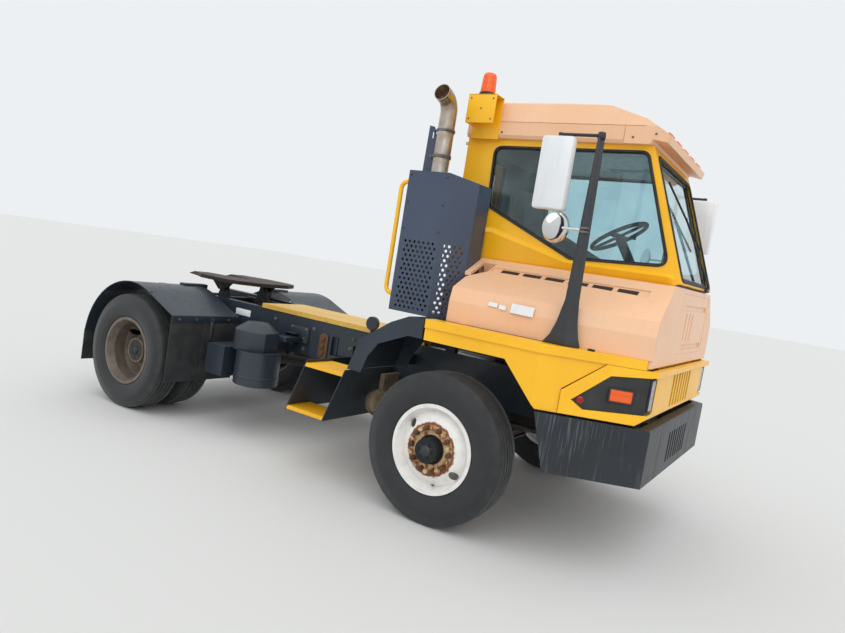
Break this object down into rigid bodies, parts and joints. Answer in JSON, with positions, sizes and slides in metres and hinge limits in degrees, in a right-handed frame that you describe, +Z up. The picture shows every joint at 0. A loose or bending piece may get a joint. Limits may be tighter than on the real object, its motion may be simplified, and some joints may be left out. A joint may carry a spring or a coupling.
{
  "type": "terminal tractor",
  "caption": "Terminal tractor: tilting offset-hood cab on a channel frame, lifting fifth wheel boom, steered front wheels and dual rear wheels.",
  "frame": {"origin": "on the ground under the middle of the vehicle's overall length and width", "axes": "+X forward, +Y to the vehicle's left, +Z up"},
  "size_m": [5.2, 2.48, 3.09],
  "materials": {
    "chassis_frame": "satin",
    "bumper": "satin",
    "front_axle": "satin",
    "front_springs": "satin",
    "rear_axle": "satin",
    "engine": "matte",
    "radiator": "matte",
    "driveshaft": "matte",
    "deck_plate": "satin",
    "exhaust_guard": "satin",
    "exhaust_stack": "satin",
    "grab_handle": "satin",
    "front_fender_arms": "satin",
    "rear_fender_left": "satin",
    "rear_fender_right": "satin",
    "battery_box": "satin",
    "air_cleaner": "satin",
    "fuel_tank": "satin",
    "step_frames": "satin",
    "step_treads": "satin",
    "air_canister": "matte",
    "tail_lamps": "gloss",
    "lift_boom": "satin",
    "fifth_wheel": "matte",
    "lift_barrels": "satin",
    "lift_rods": "gloss",
    "tilt_frame": "satin",
    "cab_shell": "gloss",
    "hood_shell": "gloss",
    "front_panel": "gloss",
    "deck_rail_skirt": "satin",
    "front_fascia": "satin",
    "lamp_pods": "matte",
    "headlamps": "gloss",
    "signal_lamps": "gloss",
    "roof_cap": "gloss",
    "side_glass": "gloss",
    "windscreen": "gloss",
    "rear_door": "gloss",
    "rear_door_glass": "gloss",
    "beacon_box": "satin",
    "beacon": "gloss",
    "mirror_posts": "satin",
    "mirrors": "gloss",
    "spot_mirrors": "gloss",
    "seat": "matte",
    "steering_column": "matte",
    "tilt_barrel": "satin",
    "tilt_rod": "gloss",
    "knuckle_left": "matte",
    "knuckle_right": "matte",
    "tie_rod": "satin",
    "tyre_front_left": "matte",
    "tyre_front_right": "matte",
    "wheel_front_left": "satin",
    "wheel_front_right": "satin",
    "tyres_rear_left": "matte",
    "tyres_rear_right": "matte",
    "wheels_rear_left": "matte",
    "wheels_rear_right": "matte"
  },
  "bodies": {
    "chassis": {"chassis_frame": "chassis_frame", "bumper": "bumper", "front_axle": "front_axle", "front_springs": "front_springs", "rear_axle": "rear_axle", "engine": "engine", "radiator": "radiator", "driveshaft": "driveshaft", "deck_plate": "deck_plate", "exhaust_guard": "exhaust_guard", "exhaust_stack": "exhaust_stack", "grab_handle": "grab_handle", "front_fender_arms": "front_fender_arms", "rear_fender_left": "rear_fender_left", "rear_fender_right": "rear_fender_right", "battery_box": "battery_box", "air_cleaner": "air_cleaner", "fuel_tank": "fuel_tank", "step_frames": "step_frames", "step_treads": "step_treads", "air_canister": "air_canister", "tail_lamps": "tail_lamps"},
    "cab": {"tilt_frame": "tilt_frame", "cab_shell": "cab_shell", "hood_shell": "hood_shell", "front_panel": "front_panel", "deck_rail_skirt": "deck_rail_skirt", "front_fascia": "front_fascia", "lamp_pods": "lamp_pods", "headlamps": "headlamps", "signal_lamps": "signal_lamps", "roof_cap": "roof_cap", "side_glass": "side_glass", "windscreen": "windscreen", "beacon_box": "beacon_box", "beacon": "beacon", "mirror_posts": "mirror_posts", "mirrors": "mirrors", "spot_mirrors": "spot_mirrors", "seat": "seat", "steering_column": "steering_column"},
    "sliding_door": {"rear_door": "rear_door", "rear_door_glass": "rear_door_glass"},
    "boom": {"lift_boom": "lift_boom"},
    "fifth_wheel_head": {"fifth_wheel": "fifth_wheel"},
    "lift_cylinder_barrels": {"lift_barrels": "lift_barrels"},
    "lift_cylinder_rods": {"lift_rods": "lift_rods"},
    "tilt_cylinder_barrel": {"tilt_barrel": "tilt_barrel"},
    "tilt_cylinder_rod": {"tilt_rod": "tilt_rod"},
    "steering_knuckle_left": {"knuckle_left": "knuckle_left"},
    "steering_knuckle_right": {"knuckle_right": "knuckle_right"},
    "cross_rod": {"tie_rod": "tie_rod"},
    "front_wheel_left": {"tyre_front_left": "tyre_front_left", "wheel_front_left": "wheel_front_left"},
    "front_wheel_right": {"tyre_front_right": "tyre_front_right", "wheel_front_right": "wheel_front_right"},
    "rear_wheels_left": {"tyres_rear_left": "tyres_rear_left", "wheels_rear_left": "wheels_rear_left"},
    "rear_wheels_right": {"tyres_rear_right": "tyres_rear_right", "wheels_rear_right": "wheels_rear_right"}
  },
  "joints": [
    {"name": "cab_tilt", "type": "hinge", "parent": "chassis", "child": "cab", "pos_m": [2.495, 0, 0.99], "axis": [0, 1, 0], "range_deg": [0, 45]},
    {"name": "tilt_barrel_turn", "type": "hinge", "parent": "chassis", "child": "tilt_cylinder_barrel", "pos_m": [1.975, -0.545, 0.9], "axis": [0, 1, 0], "range_deg": [0, 13.01]},
    {"name": "tilt_rod_slide", "type": "slide", "parent": "tilt_cylinder_barrel", "child": "tilt_cylinder_rod", "axis": [0.5126, 0, 0.8586], "range_m": [0, 0.2874]},
    {"name": "rear_door_slide", "type": "slide", "parent": "cab", "child": "sliding_door", "axis": [0, 1, 0], "range_m": [0, 0.49]},
    {"name": "boom_lift", "type": "hinge", "parent": "chassis", "child": "boom", "pos_m": [-0.575, 0, 0.8], "axis": [0, 1, 0], "range_deg": [0, 20]},
    {"name": "lift_barrels_turn", "type": "hinge", "parent": "chassis", "child": "lift_cylinder_barrels", "pos_m": [-1.415, 0, 0.5], "axis": [0, 1, 0], "range_deg": [0, 11.41]},
    {"name": "lift_rods_slide", "type": "slide", "parent": "lift_cylinder_barrels", "child": "lift_cylinder_rods", "axis": [-0.1253, 0, 0.9921], "range_m": [0, 0.2964]},
    {"name": "fifth_wheel_pitch", "type": "hinge", "parent": "boom", "child": "fifth_wheel_head", "pos_m": [-1.775, 0, 1.15], "axis": [0, 1, 0], "range_deg": [-20, 15]},
    {"name": "steer_left", "type": "hinge", "parent": "chassis", "child": "steering_knuckle_left", "pos_m": [1.325, 0.865, 0.508], "axis": [0, 0, 1], "range_deg": [-35, 35]},
    {"name": "steer_right", "type": "hinge", "parent": "chassis", "child": "steering_knuckle_right", "pos_m": [1.325, -0.865, 0.508], "axis": [0, 0, 1], "range_deg": [-35, 35]},
    {"name": "cross_rod_turn", "type": "hinge", "parent": "steering_knuckle_left", "child": "cross_rod", "pos_m": [1.125, 0.865, 0.395], "axis": [0, 0, 1], "range_deg": [-35, 35]},
    {"name": "front_wheel_left_spin", "type": "hinge", "parent": "steering_knuckle_left", "child": "front_wheel_left", "pos_m": [1.325, 1.045, 0.508], "axis": [0, 1, 0], "continuous": true},
    {"name": "front_wheel_right_spin", "type": "hinge", "parent": "steering_knuckle_right", "child": "front_wheel_right", "pos_m": [1.325, -1.045, 0.508], "axis": [0, 1, 0], "continuous": true},
    {"name": "rear_wheels_left_spin", "type": "hinge", "parent": "chassis", "child": "rear_wheels_left", "pos_m": [-1.875, 0.9375, 0.508], "axis": [0, 1, 0], "continuous": true},
    {"name": "rear_wheels_right_spin", "type": "hinge", "parent": "chassis", "child": "rear_wheels_right", "pos_m": [-1.875, -0.9375, 0.508], "axis": [0, 1, 0], "continuous": true}
  ],
  "couplings": [
    {"joint": "tilt_barrel_turn", "follows": "cab_tilt", "ratio": 0.2847},
    {"joint": "tilt_rod_slide", "follows": "cab_tilt", "m_per_rad": 0.36461},
    {"joint": "lift_barrels_turn", "follows": "boom_lift", "ratio": 0.56044},
    {"joint": "lift_rods_slide", "follows": "boom_lift", "m_per_rad": 0.84622},
    {"joint": "steer_right", "follows": "steer_left", "ratio": 1},
    {"joint": "cross_rod_turn", "follows": "steer_left", "ratio": -1}
  ]
}
